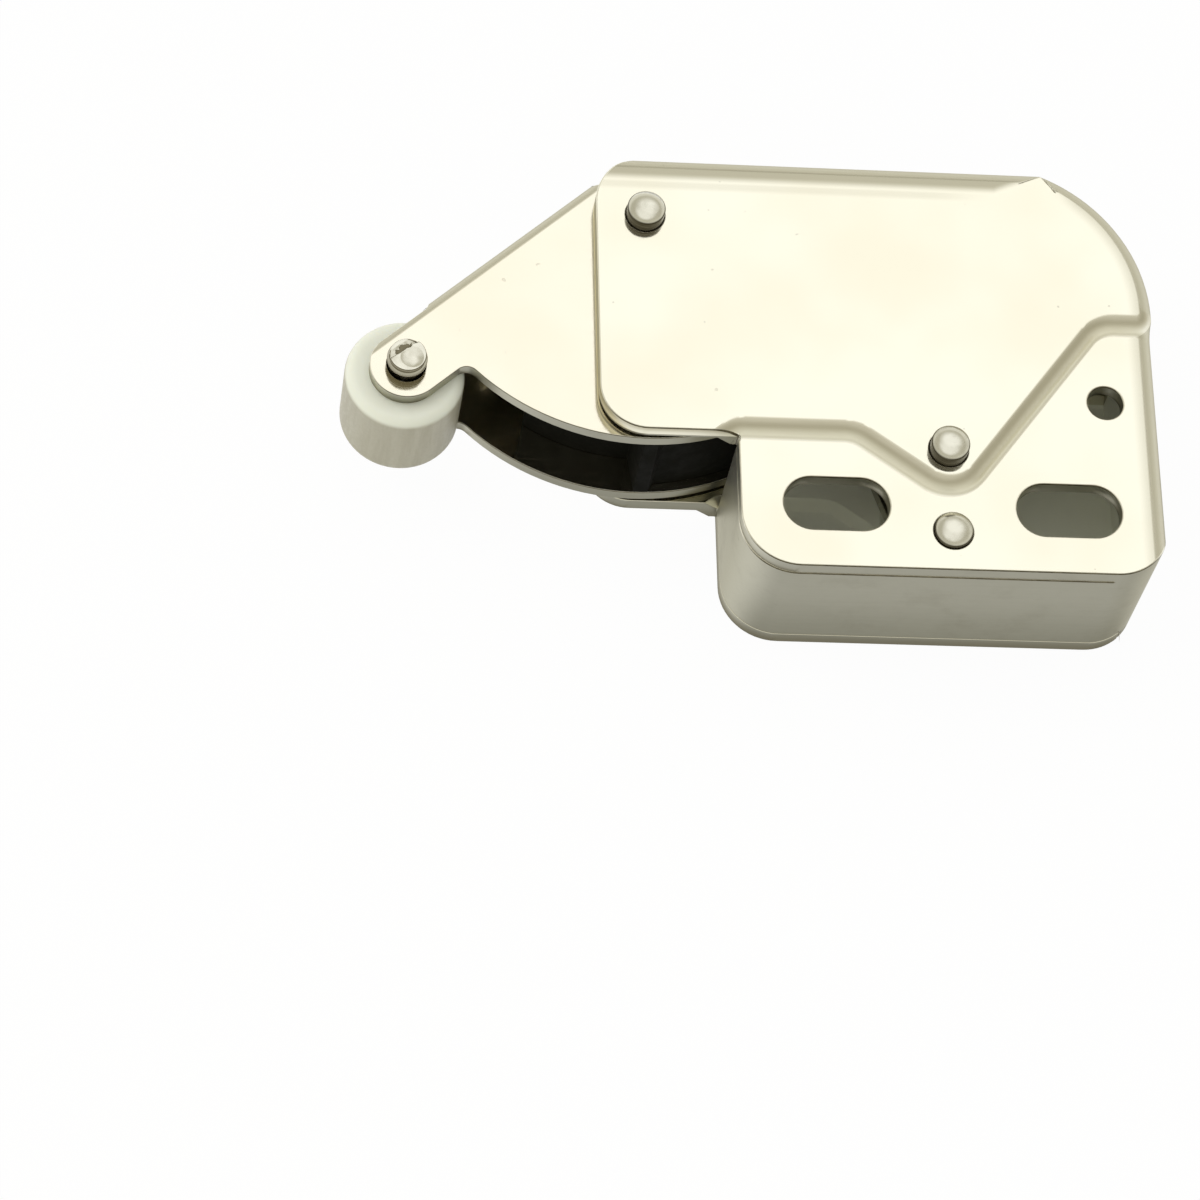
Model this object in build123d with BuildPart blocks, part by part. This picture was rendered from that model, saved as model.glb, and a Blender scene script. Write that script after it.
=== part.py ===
from build123d import *
import os
from math import asin, atan2, cos, degrees, hypot, radians, sin

# Push to open catch for a cabinet door, lying on its mounting face.
# Frame: millimetres, +Z out of the mounting face, origin midway between the two screw slots,
# +X along the slots away from the roller, +Y towards the top of the case.

# ------------------------------------------------------------------ driving dimensions
SLOT_PITCH = 16.0            # between the two screw slots
SLOT_LENGTH = 7.3
SLOT_WIDTH = 3.96
SHEET = 1.2                  # plated steel sheet of the case
CASE_DEPTH = 12.2            # over both plates, the same in the screw box and in the chamber
JOGGLE = 0.9                 # how far the chamber stands forward of the screw box
JOGGLE_TAPER = 35.0          # degrees off upright of the pressed step
JOGGLE_THINNING = 0.3        # how far the hollow of the pressed step stays inside its outside
CREST_RADIUS = 1.3
ROOT_RADIUS = 0.5
BEND_RADIUS = 1.3            # outside of a folded edge
UNBENT_REACH = (1.9, 9.0)    # flat corner between two folds: mm along the top, degrees down the shoulder
UNBENT_INSET = 0.5           # the flat corner ends this far inside the outline

CASE_RIGHT = 14.8
CASE_LEFT = -24.05
CASE_TOP = 26.3
CASE_BOTTOM = -4.7
BOX_LEFT = -14.55            # left wall of the screw box
CHAMBER_BOTTOM = 4.83        # lower edge of the chamber, where the arm comes out
SHOULDER_CENTRE = (3.0, 15.4)
SHOULDER_RADIUS = CASE_RIGHT - SHOULDER_CENTRE[0]
BOX_CORNERS = (4.0, 3.7)     # left, right
CHAMBER_CORNERS = (3.3, 3.9)  # lower, upper
STRIP_GAP = 0.1              # between the wrapped strip and the plate above it
TIP_REACH = (0.62, -4.16)    # lowest point of the pressed step, from the lever rivet
TIP_RADIUS = 3.0
SHELF_LEFT = -6.7            # where the step turns down to its tip
SHELF_RIGHT = (11.0, 13.8)   # where it turns out to the right edge
SHELF_RADIUS = 2.0
MOUTH_DROP = (-3.0, -2.5)    # run of the step past the corner where box and chamber meet
MOUTH_RADIUS = 1.0
GUARD_HOLE = (11.05, 8.4)
GUARD_HOLE_RADIUS = 1.26

ARM_PIVOT = (-20.65, 21.45)
LEVER_PIVOT = (-0.3, 3.95)
FOOT_PIVOT = (-0.1, -1.8)
ROLLER_AXIS = (-37.1, 9.87)

PIN_RADIUS = 1.33            # the three rivets and the roller pin
SEAT = 0.01                  # a pressed pin's hole is this much larger in radius
RUN = 0.05                   # radial clearance of a running fit
TAIL = 0.05                  # a rivet's tail stays this far off the mounting face
RIVET_BEVEL = 0.12
RIVET_DOME = 0.15
HEAD_STAND = 1.2             # arm and lever rivets above the chamber plate
FOOT_STAND = 0.5
BUSH_RADIUS = 2.1
LEVER_BUSH_RADIUS = 1.95
FOOT_SPACER_RADIUS = 1.65
LEVER_SPACER_RADII = (2.9, 3.3)  # back, front

ARM_SHEET = 1.0              # the arm is folded from thinner sheet
ARM_WIDTH = 9.2
ARM_ANGLE = 40.8             # of the arm's folded web, degrees from +X
FORK_RADIUS = 2.5
WEB_OUTSIDE = 2.85           # web's outer face from the roller's axis
WEB_SPAN = (4.6, 19.4)       # along the web, from the roller's axis
SECTOR_RADIUS = 16.65
SECTOR_END = -45.0           # degrees about the arm's pivot
BEYOND = 1.4                 # sides of the sector run on past its rim before it is cut round
HUB_RADIUS = 3.4
WASHER_RADIUS = HUB_RADIUS - 0.1
NECK_FILLET = 0.9
NECK_LENGTH = 3.0            # from the web's end back to the sector's edge
WEB_SHOULDER = 0.6
WEB_BEND = 0.98 * ARM_SHEET

ROLLER_RADIUS = 4.12
ROLLER_LENGTH = 7.0
ROLLER_RIM = 0.8             # rounding of the roller's outer edges
ROLLER_BEVEL = 0.15
ROLLER_PIN_STAND = 1.3
PIN_TAIL = 0.45              # the pin's plain end behind the back cheek
PIN_TAIL_RADIUS = 1.1
BURR = 0.06                  # ring upset round the pin's spun-over end
BURR_BAND = (0.65, 0.8)      # where it lies below the pin's top
BURR_RAMP = 0.05
SPUN_BEVEL = 0.15
SPUN_DIMPLE = (0.6, 0.12)    # radius and depth
ARM_TRAVEL = 38.0            # degrees, from thrown out to pushed home

NOSE_RADIUS = 1.8
NOSE_LENGTH = 3.6
NOSE_BEVEL = 0.12
NOSE_PIN_RADIUS = 0.75
PIN_BEVEL = 0.1              # ends of the cam pins and the nose pin
NOSE_START = (18.6, -31.0)   # nose axis about the arm's pivot, arm thrown out: radius, degrees
LEVER_RATIO = 0.6            # lever's turn for each degree of the arm's
CAM_GAP = 0.05
LEVER_WIDTH = 5.8
LEVER_SHEET = 1.0

# ------------------------------------------------------------------ levels
BOX_FLOOR = SHEET
BOX_CEILING = CASE_DEPTH - SHEET
CHAMBER_FLOOR = SHEET + JOGGLE
CHAMBER_CEILING = CASE_DEPTH - SHEET + JOGGLE
CHAMBER_FACE = CASE_DEPTH + JOGGLE
MIDDLE = (CHAMBER_FLOOR + CHAMBER_CEILING) / 2
ARM_BACK = MIDDLE - ARM_WIDTH / 2
ARM_FRONT = MIDDLE + ARM_WIDTH / 2
REACH = 60.0                 # past every edge of the object
PAST_EDGE = 0.6 * REACH      # past the case's edges, but inside the block it is cut from

SHOULDER_TOP = (
    SHOULDER_CENTRE[0] + (SHOULDER_RADIUS ** 2 - (CASE_TOP - SHOULDER_CENTRE[1]) ** 2) ** 0.5,
    CASE_TOP,
)

SHOULDER_START = degrees(asin((CASE_TOP - SHOULDER_CENTRE[1]) / SHOULDER_RADIUS))

os.makedirs("parts", exist_ok=True)


def polar(centre, radius, degrees_from_x):
    """The point at a radius and an angle about a centre."""
    turn = radians(degrees_from_x)
    return (centre[0] + radius * cos(turn), centre[1] + radius * sin(turn))


def corner(sketch, point):
    """The sketch's vertex nearest to a point."""
    return sketch.vertices().sort_by_distance((point[0], point[1], 0))[0]


def save(piece, label):
    """Labels a finished piece and writes its file."""
    piece.part.label = label
    export_step(piece.part, f"parts/{label}.step")


def folded_plan(inset):
    """Area inside the folded right side, shoulder and top, open to the left and below."""
    right = CASE_RIGHT - inset
    top = CASE_TOP - inset
    radius = SHOULDER_RADIUS - inset
    rise = top - SHOULDER_CENTRE[1]
    with BuildLine() as edge:
        CenterArc(SHOULDER_CENTRE, radius, 0, degrees(asin(rise / radius)))
        Polyline(
            (SHOULDER_CENTRE[0] + (radius ** 2 - rise ** 2) ** 0.5, top),
            (-REACH, top),
            (-REACH, -REACH),
            (right, -REACH),
            (right, SHOULDER_CENTRE[1]),
        )
    make_face(edge.edges())


def case_plan(sketch):
    """Outline of the case: the screw box at the lower right, the chamber above and left."""
    lower_left = (BOX_LEFT, CASE_BOTTOM)
    lower_right = (CASE_RIGHT, CASE_BOTTOM)
    chamber_low = (CASE_LEFT, CHAMBER_BOTTOM)
    chamber_high = (CASE_LEFT, CASE_TOP)
    with BuildLine() as edge:
        CenterArc(SHOULDER_CENTRE, SHOULDER_RADIUS, 0, SHOULDER_START)
        Polyline(
            SHOULDER_TOP, chamber_high, chamber_low, (BOX_LEFT, CHAMBER_BOTTOM), lower_left,
            lower_right, (CASE_RIGHT, SHOULDER_CENTRE[1]),
        )
    make_face(edge.edges())
    for point, radius in zip((lower_left, lower_right), BOX_CORNERS):
        fillet(corner(sketch, point), radius)
    for point, radius in zip((chamber_low, chamber_high), CHAMBER_CORNERS):
        fillet(corner(sketch, point), radius)


def raised_plan(sketch, inset):
    """Area of the pressed-out chamber, with a tip round the lever rivet."""
    tip = (LEVER_PIVOT[0] + TIP_REACH[0], LEVER_PIVOT[1] + TIP_REACH[1])
    below_mouth = (BOX_LEFT + MOUTH_DROP[0], CHAMBER_BOTTOM + MOUTH_DROP[1])
    mouth_corner = (BOX_LEFT, CHAMBER_BOTTOM)
    shelf_left = (SHELF_LEFT, CHAMBER_BOTTOM)
    with BuildLine() as edge:
        Polyline(
            below_mouth, mouth_corner, shelf_left, tip, SHELF_RIGHT,
            (PAST_EDGE, SHELF_RIGHT[1]), (PAST_EDGE, PAST_EDGE),
            (-PAST_EDGE, PAST_EDGE), (-PAST_EDGE, below_mouth[1]), close=True,
        )
    make_face(edge.edges())
    fillet(corner(sketch, mouth_corner), MOUTH_RADIUS)
    fillet(corner(sketch, tip), TIP_RADIUS)
    fillet(corner(sketch, shelf_left), SHELF_RADIUS)
    fillet(corner(sketch, SHELF_RIGHT), SHELF_RADIUS)
    if inset:
        offset(amount=-inset, mode=Mode.REPLACE)


def strip_inside(sketch):
    """Inside of the screw box and the open chamber, between the folded walls."""
    with BuildLine() as edge:
        Polyline(
            (-REACH, CHAMBER_BOTTOM), (BOX_LEFT + SHEET, CHAMBER_BOTTOM),
            (BOX_LEFT + SHEET, CASE_BOTTOM + SHEET), (CASE_RIGHT - SHEET, CASE_BOTTOM + SHEET),
            (CASE_RIGHT - SHEET, REACH), (-REACH, REACH), close=True,
        )
    make_face(edge.edges())
    for x, radius in zip((BOX_LEFT + SHEET, CASE_RIGHT - SHEET), BOX_CORNERS):
        fillet(corner(sketch, (x, CASE_BOTTOM + SHEET)), radius - SHEET)


def plate_holes():
    """Slots, guard screw hole and rivet holes, which both plates share."""
    with Locations((-SLOT_PITCH / 2, 0), (SLOT_PITCH / 2, 0)):
        SlotOverall(SLOT_LENGTH, SLOT_WIDTH)
    with Locations(GUARD_HOLE):
        Circle(GUARD_HOLE_RADIUS)
    with Locations(ARM_PIVOT, LEVER_PIVOT, FOOT_PIVOT):
        Circle(PIN_RADIUS + SEAT)


# ------------------------------------------------------------------ hollow of the chamber
with BuildPart() as chamber_hollow:
    with BuildSketch(Plane.XY.offset(BOX_CEILING)) as plan:
        raised_plan(plan, JOGGLE_THINNING)
    extrude(amount=JOGGLE, taper=JOGGLE_TAPER)
    with BuildSketch(Plane.XY.offset(BOX_CEILING)):
        folded_plan(SHEET)
    extrude(amount=JOGGLE, mode=Mode.INTERSECT)

# ------------------------------------------------------------------ front shell
with BuildPart() as case_front:
    # a block with the pressed step across its face
    with BuildSketch():
        Rectangle(3 * REACH, 3 * REACH)
    extrude(amount=CASE_DEPTH)
    with BuildSketch(Plane.XY.offset(CASE_DEPTH)) as plan:
        raised_plan(plan, 0)
    extrude(amount=JOGGLE, taper=JOGGLE_TAPER)
    crest = case_front.faces().sort_by(Axis.Z)[-1].edges()
    fillet(crest, CREST_RADIUS)
    root = [
        edge for edge in case_front.edges().filter_by_position(Axis.Z, CASE_DEPTH - 0.01, CASE_DEPTH + 0.01)
        if abs(edge.center().X) < REACH and abs(edge.center().Y) < REACH
    ]
    fillet(root, ROOT_RADIUS)
    # folded down along the right side, the shoulder and the top
    with BuildSketch():
        folded_plan(0)
    extrude(amount=2 * CASE_DEPTH, mode=Mode.INTERSECT)
    rim = case_front.edges().filter_by(lambda edge: edge.center().Z > CASE_DEPTH - 0.2)
    right_rim = rim.filter_by_position(Axis.X, CASE_RIGHT - 0.01, CASE_RIGHT + 0.01)
    top_rim = rim.filter_by_position(Axis.Y, CASE_TOP - 0.01, CASE_TOP + 0.01)
    shoulder_rim = rim.filter_by(GeomType.CIRCLE).filter_by(
        lambda edge: abs(edge.radius - SHOULDER_RADIUS) < 0.01
    )
    fillet(right_rim + shoulder_rim + top_rim, BEND_RADIUS)
    # the plate stays flat out to the corner between the top's fold and the shoulder's
    along_top = (SHOULDER_TOP[0] - UNBENT_REACH[0], CASE_TOP - BEND_RADIUS)
    down_shoulder = polar(
        SHOULDER_CENTRE, SHOULDER_RADIUS - BEND_RADIUS, SHOULDER_START - UNBENT_REACH[1]
    )
    inset_radius = SHOULDER_RADIUS - UNBENT_INSET
    inset_rise = SHOULDER_TOP[1] - UNBENT_INSET - SHOULDER_CENTRE[1]
    tip = (
        SHOULDER_CENTRE[0] + (inset_radius ** 2 - inset_rise ** 2) ** 0.5,
        SHOULDER_CENTRE[1] + inset_rise,
    )
    with BuildSketch(Plane.XY.offset(BOX_CEILING)):
        with BuildLine():
            Polyline(along_top, down_shoulder, tip, close=True)
        make_face()
    extrude(amount=SHEET + JOGGLE)
    with BuildSketch() as plan:
        case_plan(plan)
    extrude(amount=2 * CASE_DEPTH, mode=Mode.INTERSECT)
    # hollow
    with BuildSketch() as plan:
        strip_inside(plan)
        with BuildSketch(mode=Mode.INTERSECT):
            folded_plan(SHEET)
    extrude(amount=BOX_CEILING, mode=Mode.SUBTRACT)
    add(chamber_hollow.part, mode=Mode.SUBTRACT)
    # the strip stands on the back plate and stays just clear of the front plate
    with BuildSketch():
        with Locations((CASE_RIGHT - SHEET, 0)):
            Rectangle(2 * REACH, 2 * REACH, align=(Align.MAX, Align.CENTER))
    extrude(amount=SHEET, mode=Mode.SUBTRACT)
    with BuildSketch(Plane.XY.offset(BOX_CEILING)):
        with Locations((CASE_RIGHT - BOX_CORNERS[1], CHAMBER_BOTTOM)):
            Rectangle(REACH, REACH, align=(Align.MAX, Align.MAX))
    extrude(amount=-STRIP_GAP, mode=Mode.SUBTRACT)
    # the flange's lower edge follows the back plate's step
    with BuildSketch() as plan:
        raised_plan(plan, 0)
    extrude(amount=JOGGLE, taper=JOGGLE_TAPER, mode=Mode.SUBTRACT)
    with BuildSketch(Plane.XY.offset(BOX_CEILING)):
        plate_holes()
    extrude(amount=SHEET + JOGGLE, mode=Mode.SUBTRACT)
save(case_front, "case_front")

# ------------------------------------------------------------------ back plate
with BuildPart() as case_back:
    with BuildSketch():
        Rectangle(3 * REACH, 3 * REACH)
    extrude(amount=SHEET)
    with BuildSketch(Plane.XY.offset(SHEET)) as plan:
        raised_plan(plan, 0)
    extrude(amount=JOGGLE, taper=JOGGLE_TAPER)
    with BuildSketch() as plan:
        raised_plan(plan, JOGGLE_THINNING)
    extrude(amount=JOGGLE, taper=JOGGLE_TAPER, mode=Mode.SUBTRACT)
    with BuildSketch() as plan:
        case_plan(plan)
        with BuildSketch(mode=Mode.INTERSECT):
            folded_plan(SHEET)
    extrude(amount=SHEET + JOGGLE, mode=Mode.INTERSECT)
    with BuildSketch():
        plate_holes()
    extrude(amount=SHEET + JOGGLE, mode=Mode.SUBTRACT)
save(case_back, "case_back")


# ------------------------------------------------------------------ rivets and what turns on them
def rivet_profile(low, high, radius, dome):
    """Half section of a straight rivet with a slightly domed head, in the XZ plane."""
    rim = radius - RIVET_BEVEL
    sphere = (rim ** 2 + dome ** 2) / (2 * dome)
    half_way = asin(rim / sphere) / 2
    with BuildLine() as edge:
        Polyline(
            (0, high), (0, low), (rim, low), (radius, low + RIVET_BEVEL),
            (radius, high - dome - RIVET_BEVEL), (rim, high - dome),
        )
        ThreePointArc(
            (rim, high - dome), (sphere * sin(half_way), high - sphere * (1 - cos(half_way))), (0, high)
        )
    make_face(edge.edges())


rivets = {
    "arm_rivet": (ARM_PIVOT, TAIL, CHAMBER_FACE + HEAD_STAND),
    "lever_rivet": (LEVER_PIVOT, TAIL, CHAMBER_FACE + HEAD_STAND),
    "foot_rivet": (FOOT_PIVOT, 0, CASE_DEPTH + FOOT_STAND),
}
for name, (centre, bottom, top) in rivets.items():
    with BuildPart() as rivet:
        with BuildSketch(Plane(origin=(*centre, 0), x_dir=(1, 0, 0), z_dir=(0, -1, 0))):
            rivet_profile(bottom, top, PIN_RADIUS, RIVET_DOME)
        revolve(axis=Axis((*centre, 0), (0, 0, 1)))
    save(rivet, name)

# name: centre, inner radius, outer radius, bottom, top
sleeves = {
    "arm_bush": (ARM_PIVOT, PIN_RADIUS + SEAT, BUSH_RADIUS, CHAMBER_FLOOR, CHAMBER_CEILING),
    "lever_bush": (LEVER_PIVOT, PIN_RADIUS + SEAT, LEVER_BUSH_RADIUS, CHAMBER_FLOOR, CHAMBER_CEILING),
    "foot_spacer": (FOOT_PIVOT, PIN_RADIUS + SEAT, FOOT_SPACER_RADIUS, BOX_FLOOR, BOX_CEILING),
    "arm_washer_back": (
        ARM_PIVOT, BUSH_RADIUS + RUN, WASHER_RADIUS, CHAMBER_FLOOR, ARM_BACK - RUN,
    ),
    "arm_washer_front": (
        ARM_PIVOT, BUSH_RADIUS + RUN, WASHER_RADIUS, ARM_FRONT + RUN, CHAMBER_CEILING,
    ),
    "lever_spacer_back": (
        LEVER_PIVOT, LEVER_BUSH_RADIUS + RUN, LEVER_SPACER_RADII[0],
        CHAMBER_FLOOR, MIDDLE - LEVER_WIDTH / 2 - RUN,
    ),
    "lever_spacer_front": (
        LEVER_PIVOT, LEVER_BUSH_RADIUS + RUN, LEVER_SPACER_RADII[1],
        MIDDLE + LEVER_WIDTH / 2 + RUN, BOX_CEILING,
    ),
}
for name, (centre, inner, outer, low, high) in sleeves.items():
    with BuildPart() as sleeve:
        with BuildSketch(Plane.XY.offset(low)):
            with Locations(centre):
                Circle(outer)
                Circle(inner, mode=Mode.SUBTRACT)
        extrude(amount=high - low)
    save(sleeve, name)

# ------------------------------------------------------------------ arm
along_arm = (cos(radians(ARM_ANGLE)), sin(radians(ARM_ANGLE)), 0)


def arm_plane(height):
    """Plane across the arm at a height: origin on the roller's axis, X along the folded web."""
    return Plane(origin=(*ROLLER_AXIS, height), x_dir=along_arm, z_dir=(0, 0, 1))


pivot_on_arm = arm_plane(0).to_local_coords(Vector(*ARM_PIVOT, 0))
PIVOT_ALONG = pivot_on_arm.X
PIVOT_ACROSS = pivot_on_arm.Y


def cheek_plan(sketch):
    """One cheek of the arm: fork round the roller's axis, sector about the pivot, hub."""
    pivot = (PIVOT_ALONG, PIVOT_ACROSS)
    sector_side = polar(pivot, BEYOND * SECTOR_RADIUS, SECTOR_END - ARM_ANGLE)
    hub_side = polar(pivot, HUB_RADIUS, SECTOR_END - ARM_ANGLE + 90)
    hub_top = polar(pivot, HUB_RADIUS, 90 - ARM_ANGLE)
    below = (0, PIVOT_ACROSS - BEYOND * SECTOR_RADIUS)
    # sector under the web, cut back beside the neck
    with BuildLine() as edge:
        Polyline(
            (WEB_SPAN[0] - WEB_SHOULDER, FORK_RADIUS), (WEB_SPAN[0], WEB_OUTSIDE),
            (WEB_SPAN[1], WEB_OUTSIDE), hub_top, hub_side, sector_side, below,
            (WEB_SPAN[0] - NECK_LENGTH, FORK_RADIUS), close=True,
        )
    make_face(edge.edges())
    with Locations(pivot):
        Circle(SECTOR_RADIUS, mode=Mode.INTERSECT)
        Circle(HUB_RADIUS)
    # neck and fork
    with Locations((WEB_SPAN[0] / 2, 0)):
        Rectangle(WEB_SPAN[0], 2 * FORK_RADIUS)
    Circle(FORK_RADIUS)


def cheek_holes():
    """Pivot hole and roller pin hole of a cheek."""
    with Locations((PIVOT_ALONG, PIVOT_ACROSS)):
        Circle(BUSH_RADIUS + RUN)
    Circle(PIN_RADIUS + SEAT)


CAM_PINS = {"cam_pin_lower": (12.0, -72.0), "cam_pin_upper": (10.5, -52.0)}
CAM_PIN_RADIUS = 0.8

with BuildPart() as arm:
    for height in (ARM_BACK, ARM_FRONT - ARM_SHEET):
        with BuildSketch(arm_plane(height)) as plan:
            cheek_plan(plan)
        extrude(amount=ARM_SHEET)
    with BuildSketch(arm_plane(ARM_BACK)):
        with Locations(((WEB_SPAN[0] + WEB_SPAN[1]) / 2, WEB_OUTSIDE - ARM_SHEET / 2)):
            Rectangle(WEB_SPAN[1] - WEB_SPAN[0], ARM_SHEET)
    extrude(amount=ARM_WIDTH)
    # rounded inner corner between neck and sector
    on_arm = arm_plane(0)
    notch = arm.edges().filter_by(Axis.Z).filter_by(
        lambda edge: 0 < on_arm.to_local_coords(edge.center()).X < WEB_SPAN[0]
        and abs(on_arm.to_local_coords(edge.center()).Y + FORK_RADIUS) < 0.05
    )
    notch = ShapeList([edge for edge in notch if on_arm.to_local_coords(edge.center()).X > FORK_RADIUS])
    fillet(notch, NECK_FILLET)
    # rounded bends either side of the web
    bends = arm.edges().filter_by(
        lambda edge: abs(on_arm.to_local_coords(edge.center()).Y - WEB_OUTSIDE) < 0.01
        and edge.length > ARM_WIDTH / 2
    )
    fillet(bends, WEB_BEND)
    with BuildSketch(arm_plane(ARM_BACK)):
        cheek_holes()
    extrude(amount=ARM_WIDTH, mode=Mode.SUBTRACT)
    with BuildSketch(Plane.XY.offset(ARM_BACK)):
        with Locations(*[polar(ARM_PIVOT, *place) for place in CAM_PINS.values()]):
            Circle(CAM_PIN_RADIUS + SEAT)
    extrude(amount=ARM_WIDTH, mode=Mode.SUBTRACT)
save(arm, "arm")

# ------------------------------------------------------------------ roller and its pin
with BuildPart() as roller:
    with BuildSketch(Plane(origin=(*ROLLER_AXIS, MIDDLE), x_dir=(1, 0, 0), z_dir=(0, -1, 0))) as plan:
        with Locations(((PIN_RADIUS + RUN + ROLLER_RADIUS) / 2, 0)):
            Rectangle(ROLLER_RADIUS - PIN_RADIUS - RUN, ROLLER_LENGTH)
        fillet(plan.vertices().group_by(Axis.X)[-1], ROLLER_RIM)
        chamfer(plan.vertices().group_by(Axis.X)[0], ROLLER_BEVEL)
    revolve(axis=Axis((*ROLLER_AXIS, 0), (0, 0, 1)))
save(roller, "roller")

with BuildPart() as roller_pin:
    with BuildSketch(Plane(origin=(*ROLLER_AXIS, 0), x_dir=(1, 0, 0), z_dir=(0, -1, 0))):
        top = ARM_FRONT + ROLLER_PIN_STAND
        bottom = ARM_BACK - PIN_TAIL
        burr_top = top - BURR_BAND[0]
        burr_bottom = top - BURR_BAND[1]
        with BuildLine():
            Polyline(
                (0, top - SPUN_DIMPLE[1]), (0, bottom), (PIN_TAIL_RADIUS, bottom),
                (PIN_RADIUS, bottom + PIN_RADIUS - PIN_TAIL_RADIUS),
                (PIN_RADIUS, burr_bottom - BURR_RAMP), (PIN_RADIUS + BURR, burr_bottom),
                (PIN_RADIUS + BURR, burr_top), (PIN_RADIUS, burr_top + BURR_RAMP),
                (PIN_RADIUS, top - SPUN_BEVEL), (PIN_RADIUS - SPUN_BEVEL, top),
                (SPUN_DIMPLE[0], top), close=True,
            )
        make_face()
    revolve(axis=Axis((*ROLLER_AXIS, 0), (0, 0, 1)))
save(roller_pin, "roller_pin")


# ------------------------------------------------------------------ cam block in the arm
nose_home = polar(ARM_PIVOT, *NOSE_START)
LEVER_LENGTH = hypot(nose_home[0] - LEVER_PIVOT[0], nose_home[1] - LEVER_PIVOT[1])
LEVER_ANGLE = degrees(atan2(nose_home[1] - LEVER_PIVOT[1], nose_home[0] - LEVER_PIVOT[0]))


def nose_on_arm(turn):
    """Nose axis seen from the arm's rest frame, once the arm has turned by this many degrees."""
    x, y = polar(LEVER_PIVOT, LEVER_LENGTH, LEVER_ANGLE + LEVER_RATIO * turn)
    radius = hypot(x - ARM_PIVOT[0], y - ARM_PIVOT[1])
    angle = degrees(atan2(y - ARM_PIVOT[1], x - ARM_PIVOT[0]))
    return polar(ARM_PIVOT, radius, angle - turn)


HALF_DEGREE = 0.5


def cam_edge(turn):
    """Point of the cam's edge that the nose roller bears on at this turn of the arm."""
    x, y = nose_on_arm(turn)
    before = nose_on_arm(turn - HALF_DEGREE)
    after = nose_on_arm(turn + HALF_DEGREE)
    along = Vector(after[0] - before[0], after[1] - before[1]).normalized()
    reach = NOSE_RADIUS + CAM_GAP
    return (x + along.Y * reach, y - along.X * reach)


CAM_LEAD = (2.0, 4.0)        # degrees of edge beyond each end of the travel
CAM_BORE = 4.3
CAM_RECESS = 14.0            # radius of the block where the arm is open to view
CAM_LEFT = -124.0
CAM_STEPS = 6                # stretches of the edge's curve
HOOK_RADIUS = 16.6           # stop behind the seat
HOOK_TURNS = (1.5, 5.0, 6.5)  # degrees past the seat: its inner edge, outer edge, foot

with BuildPart() as cam_block:
    with BuildSketch(Plane.XY.offset(ARM_BACK + ARM_SHEET)) as plan:
        stretch = (ARM_TRAVEL + sum(CAM_LEAD)) / CAM_STEPS
        edge_points = [cam_edge(step * stretch - CAM_LEAD[0]) for step in range(CAM_STEPS + 1)]
        start = edge_points[0]
        seat = edge_points[-1]
        start_angle = degrees(atan2(start[1] - ARM_PIVOT[1], start[0] - ARM_PIVOT[0]))
        seat_angle = degrees(atan2(seat[1] - ARM_PIVOT[1], seat[0] - ARM_PIVOT[0]))
        hook_in = polar(ARM_PIVOT, HOOK_RADIUS, seat_angle - HOOK_TURNS[0])
        hook_out = polar(ARM_PIVOT, HOOK_RADIUS, seat_angle - HOOK_TURNS[1])
        recess_start = polar(ARM_PIVOT, CAM_RECESS, seat_angle - HOOK_TURNS[2])
        recess_mid = polar(ARM_PIVOT, CAM_RECESS, (seat_angle + CAM_LEFT) / 2)
        recess_end = polar(ARM_PIVOT, CAM_RECESS, CAM_LEFT)
        bore_left = polar(ARM_PIVOT, CAM_BORE, CAM_LEFT)
        bore_mid = polar(ARM_PIVOT, CAM_BORE, (CAM_LEFT + start_angle) / 2)
        bore_right = polar(ARM_PIVOT, CAM_BORE, start_angle)
        with BuildLine():
            Spline(*edge_points)
            Polyline(seat, hook_in, hook_out, recess_start)
            ThreePointArc(recess_start, recess_mid, recess_end)
            Line(recess_end, bore_left)
            ThreePointArc(bore_left, bore_mid, bore_right)
            Line(bore_right, start)
        make_face()
        with Locations(*[polar(ARM_PIVOT, *place) for place in CAM_PINS.values()]):
            Circle(CAM_PIN_RADIUS + SEAT, mode=Mode.SUBTRACT)
    extrude(amount=ARM_WIDTH - 2 * ARM_SHEET)
save(cam_block, "cam_block")

for name, place in CAM_PINS.items():
    with BuildPart() as cam_pin:
        with BuildSketch(Plane.XY.offset(ARM_BACK)):
            with Locations(polar(ARM_PIVOT, *place)):
                Circle(CAM_PIN_RADIUS)
        extrude(amount=ARM_WIDTH)
        chamfer(cam_pin.edges().filter_by(GeomType.CIRCLE), PIN_BEVEL)
    save(cam_pin, name)

# ------------------------------------------------------------------ lever with its nose roller
LEVER_HUB = 3.2
LEVER_TIP = 1.6
BRIDGE = (3.6, 6.4)          # cross piece between the lever's plates, along the lever
BRIDGE_SIDE = -1.9           # its outer face, across the lever
LEVER_BACK = MIDDLE - LEVER_WIDTH / 2
along_lever = (cos(radians(LEVER_ANGLE)), sin(radians(LEVER_ANGLE)), 0)


def lever_plane(height):
    """Plane across the lever at a height: origin on its pivot, X towards the nose."""
    return Plane(origin=(*LEVER_PIVOT, height), x_dir=along_lever, z_dir=(0, 0, 1))


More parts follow.
